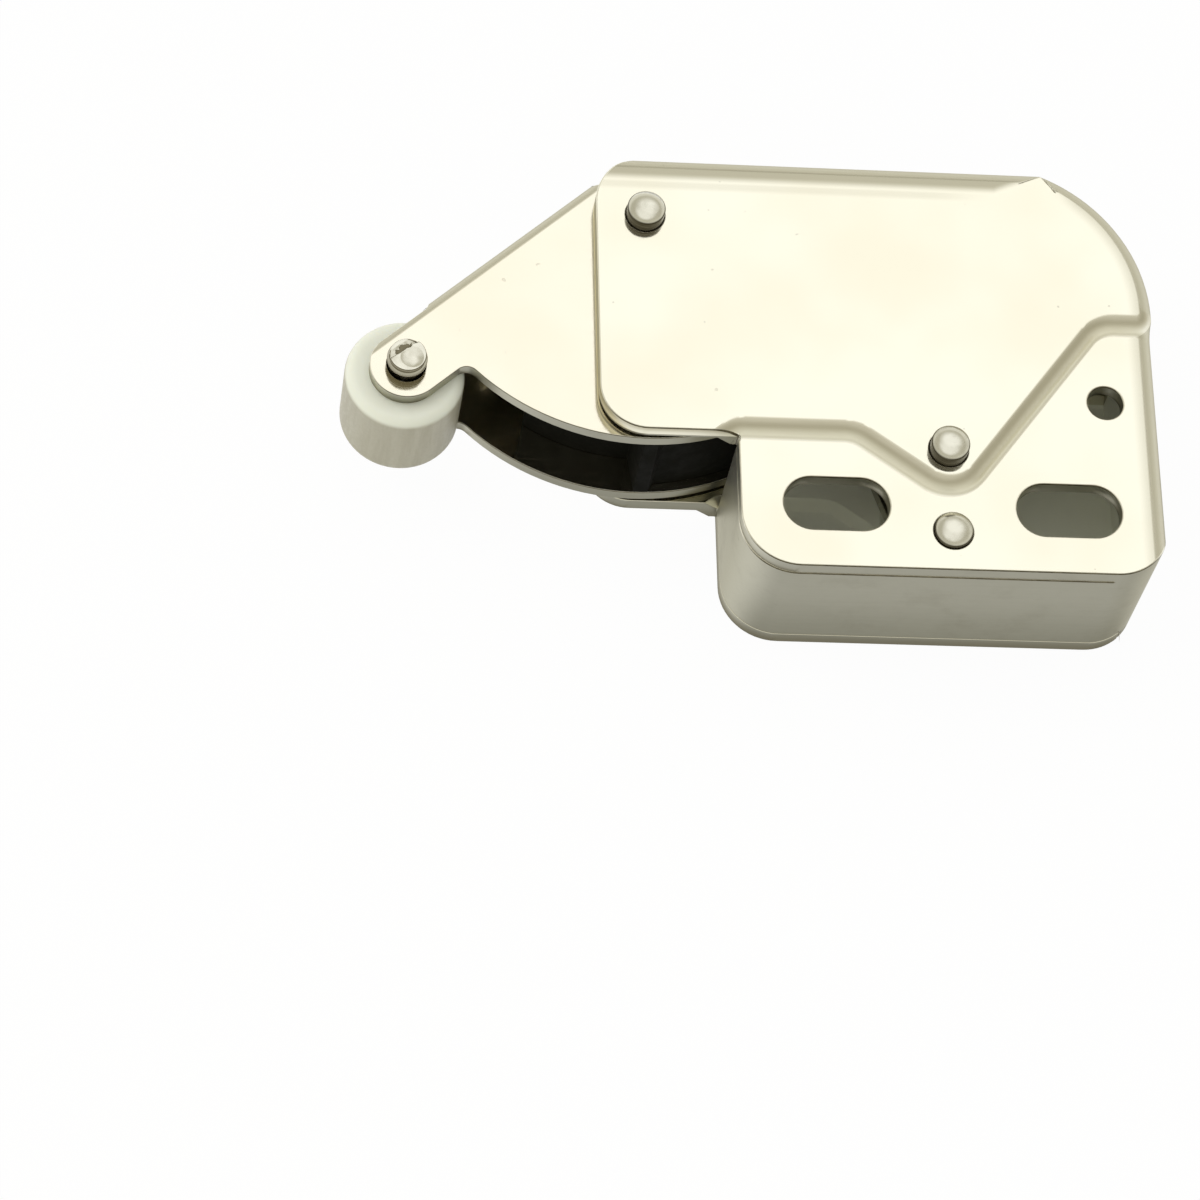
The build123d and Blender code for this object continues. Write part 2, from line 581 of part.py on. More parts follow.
with BuildPart() as lever:
    for height in (LEVER_BACK, LEVER_BACK + LEVER_WIDTH - LEVER_SHEET):
        with BuildSketch(lever_plane(height)) as plan:
            Circle(LEVER_HUB)
            with Locations((LEVER_LENGTH, 0)):
                Circle(LEVER_TIP)
            make_hull()
            with Locations((LEVER_LENGTH / 2 + LEVER_HUB, BRIDGE_SIDE)):
                Rectangle(LEVER_LENGTH, LEVER_HUB, align=(Align.CENTER, Align.MAX), mode=Mode.SUBTRACT)
        extrude(amount=LEVER_SHEET)
    with BuildSketch(lever_plane(LEVER_BACK)):
        with Locations(((BRIDGE[0] + BRIDGE[1]) / 2, BRIDGE_SIDE)):
            Rectangle(BRIDGE[1] - BRIDGE[0], LEVER_SHEET, align=(Align.CENTER, Align.MIN))
    extrude(amount=LEVER_WIDTH)
    with BuildSketch(lever_plane(LEVER_BACK)):
        Circle(LEVER_BUSH_RADIUS + RUN)
        with Locations((LEVER_LENGTH, 0)):
            Circle(NOSE_PIN_RADIUS + SEAT)
    extrude(amount=LEVER_WIDTH, mode=Mode.SUBTRACT)
save(lever, "lever")

with BuildPart() as nose_pin:
    with BuildSketch(lever_plane(LEVER_BACK)):
        with Locations((LEVER_LENGTH, 0)):
            Circle(NOSE_PIN_RADIUS)
    extrude(amount=LEVER_WIDTH)
    chamfer(nose_pin.edges().filter_by(GeomType.CIRCLE), PIN_BEVEL)
save(nose_pin, "nose_pin")

with BuildPart() as nose_roller:
    with BuildSketch(lever_plane(MIDDLE - NOSE_LENGTH / 2)):
        with Locations((LEVER_LENGTH, 0)):
            Circle(NOSE_RADIUS)
            Circle(NOSE_PIN_RADIUS + RUN, mode=Mode.SUBTRACT)
    extrude(amount=NOSE_LENGTH)
    chamfer(nose_roller.edges().filter_by(GeomType.CIRCLE), NOSE_BEVEL)
save(nose_roller, "nose_roller")


# ------------------------------------------------------------------ springs
def torsion_spring(centre, radius, wire, levels, turns, enter_angle, tails):
    """Coil about a rivet that runs straight on, at each end, into a tail of a given length.

    The wire comes in at enter_angle on the lower level and winds anticlockwise going up.
    """
    low, high = levels
    with BuildLine(Plane(origin=(*centre, low))) as winding:
        Helix(pitch=(high - low) / turns, height=high - low, radius=radius)
    coil = winding.edges()[0].rotate(Axis((*centre, 0), (0, 0, 1)), enter_angle)
    with BuildLine() as path:
        Line(coil @ 0 - (coil % 0) * tails[0], coil @ 0)
        add(coil)
        Line(coil @ 1, coil @ 1 + (coil % 1) * tails[1])
    wire_path = path.wires()[0]
    with BuildSketch(Plane(origin=wire_path @ 0, z_dir=wire_path % 0)) as section:
        Circle(wire)
    sweep(section.sketch, path=wire_path)


# the upper tail lies along the arm's web, the lower one under the case's top
ARM_WIRE = 0.35
ARM_COIL = CASE_TOP - SHEET - ARM_PIVOT[1] - ARM_WIRE - 0.2
ARM_COIL_HEIGHT = 4.6
ARM_COIL_TURNS = 5 + ARM_ANGLE / 360
ARM_TAILS = (8.0, 10.5)
with BuildPart() as arm_spring:
    levels = (MIDDLE - ARM_COIL_HEIGHT / 2, MIDDLE + ARM_COIL_HEIGHT / 2)
    torsion_spring(ARM_PIVOT, ARM_COIL, ARM_WIRE, levels, ARM_COIL_TURNS, 90, ARM_TAILS)
save(arm_spring, "arm_spring")

# the lower tail bears on the foot spacer, the upper one on the lever's bridge
LEVER_WIRE = 0.28
LEVER_COIL = LEVER_BUSH_RADIUS + LEVER_WIRE + 0.02
LEVER_COIL_HEIGHT = 3.0
LEVER_COIL_TURNS = 4 + (LEVER_ANGLE - 90) / 360
LEVER_TAILS = (LEVER_PIVOT[1] - FOOT_PIVOT[1] + 1.2, 0.95 * BRIDGE[1])
with BuildPart() as lever_spring:
    levels = (MIDDLE - LEVER_COIL_HEIGHT / 2, MIDDLE + LEVER_COIL_HEIGHT / 2)
    torsion_spring(LEVER_PIVOT, LEVER_COIL, LEVER_WIRE, levels, LEVER_COIL_TURNS, 0, LEVER_TAILS)
save(lever_spring, "lever_spring")
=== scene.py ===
"""Dresses the push to open catch: nickel case, swinging arm with its nylon roller, cam, lever and springs."""
import logging
import math
from dataclasses import dataclass, field, replace
from enum import Enum

import bmesh
import bpy
from mathutils import Matrix, Vector, noise


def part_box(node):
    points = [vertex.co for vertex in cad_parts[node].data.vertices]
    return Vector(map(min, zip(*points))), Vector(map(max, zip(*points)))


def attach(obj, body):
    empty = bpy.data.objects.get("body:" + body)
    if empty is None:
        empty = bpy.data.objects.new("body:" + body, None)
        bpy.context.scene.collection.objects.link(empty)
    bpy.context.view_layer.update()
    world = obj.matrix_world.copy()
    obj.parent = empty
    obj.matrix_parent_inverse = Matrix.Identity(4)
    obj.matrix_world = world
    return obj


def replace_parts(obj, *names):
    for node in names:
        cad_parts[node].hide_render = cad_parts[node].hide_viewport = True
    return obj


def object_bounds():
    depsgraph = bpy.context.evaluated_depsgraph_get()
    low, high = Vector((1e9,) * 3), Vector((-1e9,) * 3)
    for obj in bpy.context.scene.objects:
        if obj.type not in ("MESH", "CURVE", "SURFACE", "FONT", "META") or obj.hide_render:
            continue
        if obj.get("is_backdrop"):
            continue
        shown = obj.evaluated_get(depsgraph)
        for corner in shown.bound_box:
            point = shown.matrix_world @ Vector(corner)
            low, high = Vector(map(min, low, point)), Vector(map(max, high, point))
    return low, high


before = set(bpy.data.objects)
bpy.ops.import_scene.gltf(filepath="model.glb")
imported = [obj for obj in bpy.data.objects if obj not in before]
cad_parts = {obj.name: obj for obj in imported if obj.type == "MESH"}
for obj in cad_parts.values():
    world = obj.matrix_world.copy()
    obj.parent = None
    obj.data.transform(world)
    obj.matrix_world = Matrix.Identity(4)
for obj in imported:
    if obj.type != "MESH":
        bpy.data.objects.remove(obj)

Colour = tuple[float, float, float]
Triple = tuple[float, float, float]
Pair = tuple[float, float]
Socket = bpy.types.NodeSocket
MM = 0.001
SENSOR = 36.0
log = logging.getLogger("push_to_open_catch")


class Slot(Enum):
    """The record's material slots that the catch is finished from."""

    CASE = "nickel_case"
    ARM = "nickel_arm"
    RIVET = "rivet_steel"
    BUSH = "bush_steel"
    LEVER = "lever_steel"
    SPRING = "spring_steel"
    WASHER = "washer_nylon"
    ROLLER = "roller_nylon"
    CAM = "cam_plastic"


class Bench:
    """A node tree under construction, with one short call for each node that the finishes share."""

    def __init__(self, tree: bpy.types.NodeTree) -> None:
        """Takes over a tree and empties it.

        Args:
            tree: the node tree of a material or of the world.
        """
        self.tree = tree
        tree.nodes.clear()
        self.coordinates = tree.nodes.new("ShaderNodeTexCoord")

    def add(self, kind: str, **settings: object) -> bpy.types.Node:
        """Adds a node.

        Args:
            kind: the node's type name.
            settings: attributes to set on it.

        Returns:
            The new node.
        """
        node = self.tree.nodes.new(kind)
        for name, value in settings.items():
            setattr(node, name, value)
        return node

    def feed(self, value: object, socket: Socket) -> None:
        """Gives a socket a link or a constant.

        Args:
            value: an output socket, a number or a colour.
            socket: the input that receives it.
        """
        if isinstance(value, Socket):
            self.tree.links.new(value, socket)
        elif isinstance(value, tuple) and len(socket.default_value) == 4:
            socket.default_value = (*value, 1.0)
        else:
            socket.default_value = value

    def shift(self, stretch: Triple, turn: float = 0.0) -> Socket:
        """Scales object coordinates, so that a pattern is drawn out along one axis.

        Args:
            stretch: how often the pattern repeats along X, Y and Z.
            turn: turn about Z, in radians.

        Returns:
            The scaled coordinates.
        """
        mapping = self.add("ShaderNodeMapping", vector_type="POINT")
        self.feed(self.coordinates.outputs["Object"], mapping.inputs["Vector"])
        mapping.inputs["Rotation"].default_value = (0.0, 0.0, turn)
        mapping.inputs["Scale"].default_value = stretch
        return mapping.outputs["Vector"]

    def cloud(self, scale: float, detail: float = 3.0, rough: float = 0.55,
              vector: Socket | None = None) -> Socket:
        """Noise over the surface.

        Args:
            scale: repeats per metre.
            detail: octaves.
            rough: how strong the finer octaves are.
            vector: coordinates, or None for the object's own.

        Returns:
            The noise value from 0 to 1.
        """
        node = self.add("ShaderNodeTexNoise", noise_dimensions="3D")
        self.feed(vector or self.coordinates.outputs["Object"], node.inputs["Vector"])
        node.inputs["Scale"].default_value = scale
        node.inputs["Detail"].default_value = detail
        node.inputs["Roughness"].default_value = rough
        return node.outputs["Fac"]

    def span(self, value: Socket, start: float, end: float, low: float = 0.0, high: float = 1.0,
             smooth: bool = True) -> Socket:
        """Maps start..end to low..high and holds the ends.

        Args:
            value: the value to map.
            start: where the change starts.
            end: where it ends.
            low: result at the start.
            high: result at the end.
            smooth: eases in and out where true.

        Returns:
            The mapped value.
        """
        easing = "SMOOTHSTEP" if smooth else "LINEAR"
        node = self.add("ShaderNodeMapRange", interpolation_type=easing, clamp=True)
        self.feed(value, node.inputs["Value"])
        for name, number in (("From Min", start), ("From Max", end), ("To Min", low), ("To Max", high)):
            node.inputs[name].default_value = number
        return node.outputs["Result"]

    def sum(self, kind: str, first: object, second: object, clamp: bool = False) -> Socket:
        """Combines two values.

        Args:
            kind: the operation, such as MULTIPLY.
            first: a socket or a number.
            second: a socket or a number.
            clamp: holds the result between 0 and 1.

        Returns:
            The result.
        """
        node = self.add("ShaderNodeMath", operation=kind, use_clamp=clamp)
        self.feed(first, node.inputs[0])
        self.feed(second, node.inputs[1])
        return node.outputs[0]

    def tint(self, share: object, first: object, second: object) -> Socket:
        """Mixes two colours.

        Args:
            share: how much of the second shows.
            first: a socket or a colour.
            second: a socket or a colour.

        Returns:
            The mixed colour.
        """
        node = self.add("ShaderNodeMix", data_type="RGBA", clamp_factor=True)
        self.feed(share, node.inputs[0])
        self.feed(first, node.inputs[6])
        self.feed(second, node.inputs[7])
        return node.outputs[2]

    def relief(self, height: Socket, depth: float, under: Socket | None = None) -> Socket:
        """Turns a height into a bumped normal.

        Args:
            height: the height, 0 to 1.
            depth: how deep 1 is, in metres.
            under: a bumped normal that this one adds to.

        Returns:
            The normal.
        """
        node = self.add("ShaderNodeBump")
        node.inputs["Strength"].default_value = 1.0
        node.inputs["Distance"].default_value = depth
        self.feed(height, node.inputs["Height"])
        if under is not None:
            self.feed(under, node.inputs["Normal"])
        return node.outputs["Normal"]

    def facing(self, axis: str) -> Socket:
        """One component of the surface's own normal.

        Args:
            axis: X, Y or Z.

        Returns:
            The component, from -1 to 1.
        """
        split = self.add("ShaderNodeSeparateXYZ")
        self.feed(self.coordinates.outputs["Normal"], split.inputs["Vector"])
        return split.outputs[axis]

    def place(self, axis: str) -> Socket:
        """One object coordinate of the surface, in metres.

        Args:
            axis: X, Y or Z.

        Returns:
            The coordinate.
        """
        split = self.add("ShaderNodeSeparateXYZ")
        self.feed(self.coordinates.outputs["Object"], split.inputs["Vector"])
        return split.outputs[axis]


def place_mesh(name: str, mesh: bmesh.types.BMesh, materials: list[bpy.types.Material]) -> bpy.types.Object:
    """Turns a finished mesh into an object of the scene.

    Args:
        name: the object's name.
        mesh: its mesh, which is freed.
        materials: its materials, in the order of their slots.

    Returns:
        The new object.
    """
    data = bpy.data.meshes.new(name)
    mesh.to_mesh(data)
    mesh.free()
    for material in materials:
        data.materials.append(material)
    piece = bpy.data.objects.new(name, data)
    bpy.context.scene.collection.objects.link(piece)
    return piece


def middle(low: Vector, high: Vector) -> Pair:
    """Returns the X and Y of the middle of a box."""
    return (low.x + high.x) / 2, (low.y + high.y) / 2


@dataclass(frozen=True)
class Finish:
    """A surface finish, made into one material on first use."""

    slot: Slot
    name: str

    def material(self) -> bpy.types.Material:
        """Returns the finish's material, building it once."""
        found = bpy.data.materials.get(self.name)
        if found is None:
            found = bpy.data.materials.new(self.name)
            found.use_nodes = True
            bench = Bench(found.node_tree)
            shader = bench.add("ShaderNodeBsdfPrincipled")
            self.mix(bench, shader)
            out = bench.add("ShaderNodeOutputMaterial")
            bench.feed(shader.outputs["BSDF"], out.inputs["Surface"])
        return found

    def mix(self, bench: Bench, shader: bpy.types.Node) -> None:
        """Sets the shader's sockets.

        Args:
            bench: the material's node bench.
            shader: its main shader.
        """
        raise NotImplementedError


@dataclass(frozen=True)
class NickelPlate(Finish):
    """Bright nickel on sheet steel: a mirror on flats, rougher on bends and walls, dull in the screw box. The
    bends, walls, joggle and the flats beside the folds are coloured with painted shade, and the screw box has
    a faint painted glow.
    """

    bright: Colour = (0.945, 0.925, 0.790)
    warm: Colour = (0.912, 0.874, 0.718)
    # Painted shade: the bends and slopes are coloured a darker tan than the flats, for the dimmer room that
    # they mirror.
    bend_shade: Colour = (0.715, 0.692, 0.565)
    # Painted shade: the walls are coloured grey, lighter where they face ±X and darker where they face ±Y,
    # for the dim floor and room that they mirror. Their higher roughness is real.
    side_wall_shade: Colour = (0.600, 0.590, 0.500)
    front: Colour = (0.385, 0.378, 0.318)
    # Painted shade: walls facing ±Y darken to this colour below foot_height, towards the floor.
    foot: Colour = (0.270, 0.265, 0.215)
    # Painted shade on the flats beside the folds.
    fold_shade: Colour = (0.445, 0.420, 0.310)
    # Painted shade on the joggle's slope.
    joggle_shade: Colour = (0.610, 0.575, 0.445)
    # Dark colour of the painted shade under the case and on faces turned down, and of the real smudges and
    # specks.
    shade: Colour = (0.150, 0.135, 0.095)
    inside: Colour = (0.900, 0.905, 0.800)
    mirror_roughness: float = 0.11
    satin_roughness: float = 0.38
    foot_height: float = 9.0 * MM
    step_low: float = 12.2 * MM
    step_high: float = 13.1 * MM
    fold: float = 24.75 * MM
    corner: float = 4.0 * MM
    slope: float = 0.42
    # Where the painted shade beside the folds lies and how dark it gets. line_depth is the darkness of its
    # faint second line.
    shoulder: Triple = (3.0 * MM, 15.4 * MM, 10.5 * MM)
    shoulder_shade_depth: float = 0.42
    fold_shade_depth: float = 0.95
    line_depth: float = 0.22
    specular_tint: Colour = (0.62, 0.60, 0.52)
    broad_scale: float = 90.0
    fine_scale: float = 900.0
    streak_stretch: Triple = (160.0, 4200.0, 4200.0)
    streak_turn: float = 0.12
    smudge_scale: float = 260.0
    speck_scale: float = 1700.0
    broad_depth: float = 0.00003
    streak_depth: float = 0.0000012
    speck_depth: float = 0.000006
    # Painted light: a faint glow inside the screw box that stands in for bounced light.
    glow: Colour = (0.90, 0.90, 0.73)
    glow_strength: float = 0.024
    box_low: Triple = (-13.38 * MM, -3.53 * MM, 1.15 * MM)
    box_high: Triple = (13.63 * MM, 14.0 * MM, 11.1 * MM)

    def hollow(self, bench: Bench) -> Socket:
        """Marks the inside of the screw box, which is made pale, matt and not metallic, and given a faint
        painted glow that stands in for bounced light.

        Args:
            bench: the material's node bench.

        Returns:
            1 inside the box and 0 on the outside.
        """
        share: object = 1.0
        for axis, low, high in zip("XYZ", self.box_low, self.box_high):
            place = bench.place(axis)
            share = bench.sum("MULTIPLY", share, bench.span(place, low, low + 0.01 * MM))
            share = bench.sum("MULTIPLY", share, bench.span(place, high, high - 0.01 * MM))
        return share

    def step(self, bench: Bench) -> tuple[Socket, Socket]:
        """Marks the joggle between the raised and the lower part of the face.

        Args:
            bench: the material's node bench.

        Returns:
            1 on the joggle, and the height over it from 0 to 1.
        """
        height = bench.place("Z")
        rise = bench.span(height, self.step_low, self.step_high, smooth=False)
        share = bench.sum("MULTIPLY", bench.span(bench.facing("Y"), 0.02, -0.03),
                          bench.span(height, self.step_low - 0.02 * MM, self.step_low + 0.02 * MM))
        return share, rise

    def sag(self, bench: Bench) -> Socket:
        """Marks the painted shade on the flat face beside its folds: a band under the top fold, a faint
        second line under the top one and a round shade at the shoulder.

        Args:
            bench: the material's node bench.

        Returns:
            How much the face darkens, from 0 to 1.
        """
        x, y = bench.place("X"), bench.place("Y")
        past = bench.sum("MAXIMUM", bench.sum("SUBTRACT", x, self.corner), 0.0)
        across = bench.sum("SUBTRACT", y, bench.sum("MULTIPLY", past, self.slope))
        top = bench.span(across, self.fold - 0.62 * MM, self.fold + 0.10 * MM, 0.0, self.fold_shade_depth)
        rising = bench.span(y, self.fold - 1.35 * MM, self.fold - 0.95 * MM, 0.0, self.line_depth)
        line = bench.sum("MULTIPLY", rising, bench.span(y, self.fold - 0.45 * MM, self.fold - 0.75 * MM))
        line = bench.sum("MULTIPLY", line, bench.span(x, self.corner, self.corner - 5.0 * MM))
        centre_x, centre_y, reach = self.shoulder
        aside = bench.sum("SUBTRACT", x, centre_x)
        above = bench.sum("MAXIMUM", bench.sum("SUBTRACT", y, centre_y), 0.0)
        squared = bench.sum("ADD", bench.sum("POWER", aside, 2.0), bench.sum("POWER", above, 2.0))
        radius = bench.sum("SQRT", squared, 0.0)
        round_it = bench.span(radius, reach - 0.70 * MM, reach + 0.30 * MM, 0.0, self.shoulder_shade_depth)
        right = bench.sum("MULTIPLY", round_it, bench.span(x, self.corner + 4.0 * MM, self.corner + 6.0 * MM))
        top = bench.sum("MULTIPLY", top, bench.span(x, self.corner + 3.6 * MM, self.corner + 3.2 * MM))
        face = bench.span(bench.place("Z"), self.step_low - 0.6 * MM, self.step_low - 0.2 * MM)
        return bench.sum("MULTIPLY", bench.sum("MAXIMUM", bench.sum("MAXIMUM", top, line), right), face)

    def wall(self, bench: Bench, upward: Socket) -> Socket:
        """Colours the upright walls with painted shade: darker where they face ±Y, towards the foot, under
        the case and on faces turned down, and smudged where handled.

        Args:
            bench: the material's node bench.
            upward: the Z of the surface's normal.

        Returns:
            The colour.
        """
        smudge = bench.span(bench.cloud(self.smudge_scale, 6.0, 0.66), 0.48, 0.74)
        side = bench.sum("ABSOLUTE", bench.facing("X"), 0.0)
        # Painted shade: walls facing ±Y darken towards the floor.
        low = bench.sum("MULTIPLY", bench.span(bench.place("Z"), self.foot_height, 0.0),
                        bench.span(side, 0.3, 0.95, 1.0, 0.0))
        # Painted shade: walls facing ±X take the lighter grey, and walls facing ±Y take the darker one.
        wall = bench.tint(bench.span(side, 0.25, 0.85), self.front, self.side_wall_shade)
        wall = bench.tint(low, wall, self.foot)
        # Painted shade: the lowest 1.7 mm of the case and the faces turned down are darkened. The smudges are
        # real grime.
        under = bench.span(bench.place("Z"), 1.7 * MM, 0.0, 0.0, 0.75)
        turned = bench.sum("MULTIPLY", bench.span(upward, -0.02, -0.30), bench.span(upward, -0.995, -0.90))
        under = bench.sum("MAXIMUM", under, turned)
        dull = bench.sum("MAXIMUM", under, bench.sum("MULTIPLY", smudge, 0.16))
        return bench.tint(dull, wall, self.shade)

    def mix(self, bench: Bench, shader: bpy.types.Node) -> None:
        """Sets the shader's sockets.

        Args:
            bench: the material's node bench.
            shader: its main shader.
        """
        upward = bench.facing("Z")
        step, rise = self.step(bench)
        flat = bench.sum("MAXIMUM", bench.span(upward, 0.950, 0.9985), bench.span(upward, -0.950, -0.9985))
        broad = bench.cloud(self.broad_scale, 2.0, 0.5)
        fine = bench.cloud(self.fine_scale, 4.0, 0.6)
        streak = bench.cloud(1.0, 3.0, 0.7, bench.shift(self.streak_stretch, self.streak_turn))
        speck = bench.span(bench.cloud(self.speck_scale, 1.0, 0.4), 0.795, 0.83)
        hollow = self.hollow(bench)
        plate = bench.tint(bench.span(broad, 0.35, 0.72), self.bright, self.warm)
        # Bends and slopes take their painted shade here, and the walls take theirs from wall().
        colour = bench.tint(bench.span(upward, 0.10, 0.55), self.wall(bench, upward), self.bend_shade)
        # Flats take the plate colour, with painted shade beside the folds.
        colour = bench.tint(flat, colour, bench.tint(self.sag(bench), plate, self.fold_shade))
        # Painted shade: the joggle's slope grades from the plate colour to a darker tan towards its top.
        joggle_shade = bench.tint(bench.span(rise, 0.15, 0.85), plate, self.joggle_shade)
        colour = bench.tint(bench.sum("MULTIPLY", step, bench.span(upward, 0.998, 0.975)), colour, joggle_shade)
        colour = bench.tint(bench.sum("MULTIPLY", speck, 0.20), colour, self.shade)
        colour = bench.tint(hollow, colour, self.inside)
        rough = bench.sum("ADD", bench.span(flat, 0.0, 1.0, self.satin_roughness, self.mirror_roughness),
                          bench.span(streak, 0.35, 0.8, -0.02, 0.05))
        rough = bench.sum("ADD", rough, bench.span(fine, 0.4, 0.75, 0.0, 0.04))
        bench.feed(bench.span(hollow, 0.0, 1.0, 1.0, 0.0), shader.inputs["Metallic"])
        bench.feed(colour, shader.inputs["Base Color"])
        bench.feed(self.specular_tint, shader.inputs["Specular Tint"])
        # Painted light: the inside of the screw box glows faintly.
        bench.feed(self.glow, shader.inputs["Emission Color"])
        bench.feed(bench.sum("MULTIPLY", hollow, self.glow_strength), shader.inputs["Emission Strength"])
        rough = bench.sum("ADD", rough, bench.sum("MULTIPLY", hollow, 0.45), True)
        bench.feed(rough, shader.inputs["Roughness"])
        normal = bench.relief(broad, self.broad_depth)
        normal = bench.relief(streak, self.streak_depth, normal)
        normal = bench.relief(speck, self.speck_depth, normal)
        bench.feed(normal, shader.inputs["Normal"])


@dataclass(frozen=True)
class ShearedEdge(Finish):
    """The fine line along a punched edge, torn and dull in texture. It is painted dark where it faces −Y, and
    pale where it faces sideways, faces +Y or lies at the folded corner. This is a painted shade and painted
    light that follow how it faces.
    """

    # Painted shade: the edge's dark colours, mottled by the torn texture.
    dark: Colour = (0.070, 0.058, 0.032)
    light: Colour = (0.190, 0.170, 0.110)
    drawn: Colour = (0.950, 0.925, 0.790)
    roughness: float = 0.40
    corner: Pair = (4.0 * MM, 24.0 * MM)
    fade: float = 0.4 * MM
    tear_scale: float = 1600.0
    tear_depth: float = 0.000012

    def mix(self, bench: Bench, shader: bpy.types.Node) -> None:
        """Sets the shader's sockets.

        Args:
            bench: the material's node bench.
            shader: its main shader.
        """
        tear = bench.cloud(self.tear_scale, 4.0, 0.7)
        torn = bench.tint(bench.span(tear, 0.35, 0.75), self.dark, self.light)
        # Painted light and shade: edges facing −Y take the dark colours. Edges facing sideways, facing +Y or
        # at the folded corner take the pale one.
        smooth = bench.span(bench.facing("Y"), -0.75, -0.10)
        right, top = self.corner
        folded = bench.sum("MULTIPLY", bench.span(bench.place("X"), right, right + self.fade),
                           bench.span(bench.place("Y"), top, top + self.fade))
        smooth = bench.sum("MAXIMUM", smooth, folded)
        bench.feed(bench.tint(smooth, torn, self.drawn), shader.inputs["Base Color"])
        bench.feed(bench.span(tear, 0.3, 0.8, self.roughness - 0.08, self.roughness + 0.15),
                   shader.inputs["Roughness"])
        shader.inputs["Metallic"].default_value = 1.0
        bench.feed(bench.relief(tear, self.tear_depth), shader.inputs["Normal"])


@dataclass(frozen=True)
class TurnedSteel(Finish):
    """Headed and turned steel, such as the rivets, bushes and pins."""

    bright: Colour = (0.800, 0.785, 0.680)
    dull: Colour = (0.480, 0.460, 0.375)
    # Painted shade: the sides of the turned parts take this colour, near black by default, for the dark gap
    # and shadow under the heads.
    side_shade: Colour = (0.055, 0.046, 0.025)
    roughness: float = 0.19
    grain: float = 2600.0
    grain_depth: float = 0.000008
    crown: Triple | None = None
    crown_rise: float = 0.13 * MM

    def dome(self, bench: Bench) -> Socket:
        """Curves the head slightly, as the riveting punch leaves it.

        Args:
            bench: the material's node bench.

        Returns:
            The bumped normal.
        """
        *centre, reach = self.crown
        squares = []
        for axis, middle_of in zip("XY", centre):
            share = bench.sum("DIVIDE", bench.sum("SUBTRACT", bench.place(axis), middle_of), reach)
            squares.append(bench.sum("POWER", share, 2.0))
        return bench.relief(bench.sum("SUBTRACT", 1.0, bench.sum("ADD", *squares)), self.crown_rise)

    def mix(self, bench: Bench, shader: bpy.types.Node) -> None:
        """Sets the shader's sockets.

        Args:
            bench: the material's node bench.
            shader: its main shader.
        """
        face = bench.span(bench.sum("ABSOLUTE", bench.facing("Z"), 0.0), 0.60, 0.90)
        mottle = bench.cloud(self.grain * 0.35, 4.0, 0.6)
        around = self.grain * 0.25
        lines = bench.cloud(1.0, 2.0, 0.6, bench.shift((around, around, self.grain * 4)))
        # The sides take the painted side shade with faint turning lines. The faces along the axis take the
        # head colours.
        shank = bench.tint(bench.span(lines, 0.35, 0.75, 0.0, 0.22), self.side_shade, self.dull)
        head = bench.tint(bench.span(mottle, 0.45, 0.75, 0.0, 0.30), self.bright, self.dull)
        bench.feed(bench.tint(face, shank, head), shader.inputs["Base Color"])
        bench.feed(bench.span(mottle, 0.3, 0.75, self.roughness - 0.05, self.roughness + 0.14),
                   shader.inputs["Roughness"])
        shader.inputs["Metallic"].default_value = 1.0
        under = self.dome(bench) if self.crown else None
        bench.feed(bench.relief(mottle, self.grain_depth, under), shader.inputs["Normal"])


@dataclass(frozen=True)
class SpringWire(Finish):
    """Drawn spring wire with an oil film and fine lines along it."""

    bright: Colour = (0.420, 0.400, 0.350)
    dark: Colour = (0.120, 0.110, 0.095)
    roughness: float = 0.32
    line_scale: float = 5200.0
    line_depth: float = 0.000006

    def mix(self, bench: Bench, shader: bpy.types.Node) -> None:
        """Sets the shader's sockets.

        Args:
            bench: the material's node bench.
            shader: its main shader.
        """
        lines = bench.cloud(self.line_scale, 3.0, 0.7)
        colour = bench.tint(bench.span(lines, 0.35, 0.7), self.bright, self.dark)
        bench.feed(colour, shader.inputs["Base Color"])
        bench.feed(bench.span(lines, 0.3, 0.8, self.roughness - 0.08, self.roughness + 0.12),
                   shader.inputs["Roughness"])
        shader.inputs["Metallic"].default_value = 1.0
        bench.feed(bench.relief(lines, self.line_depth), shader.inputs["Normal"])


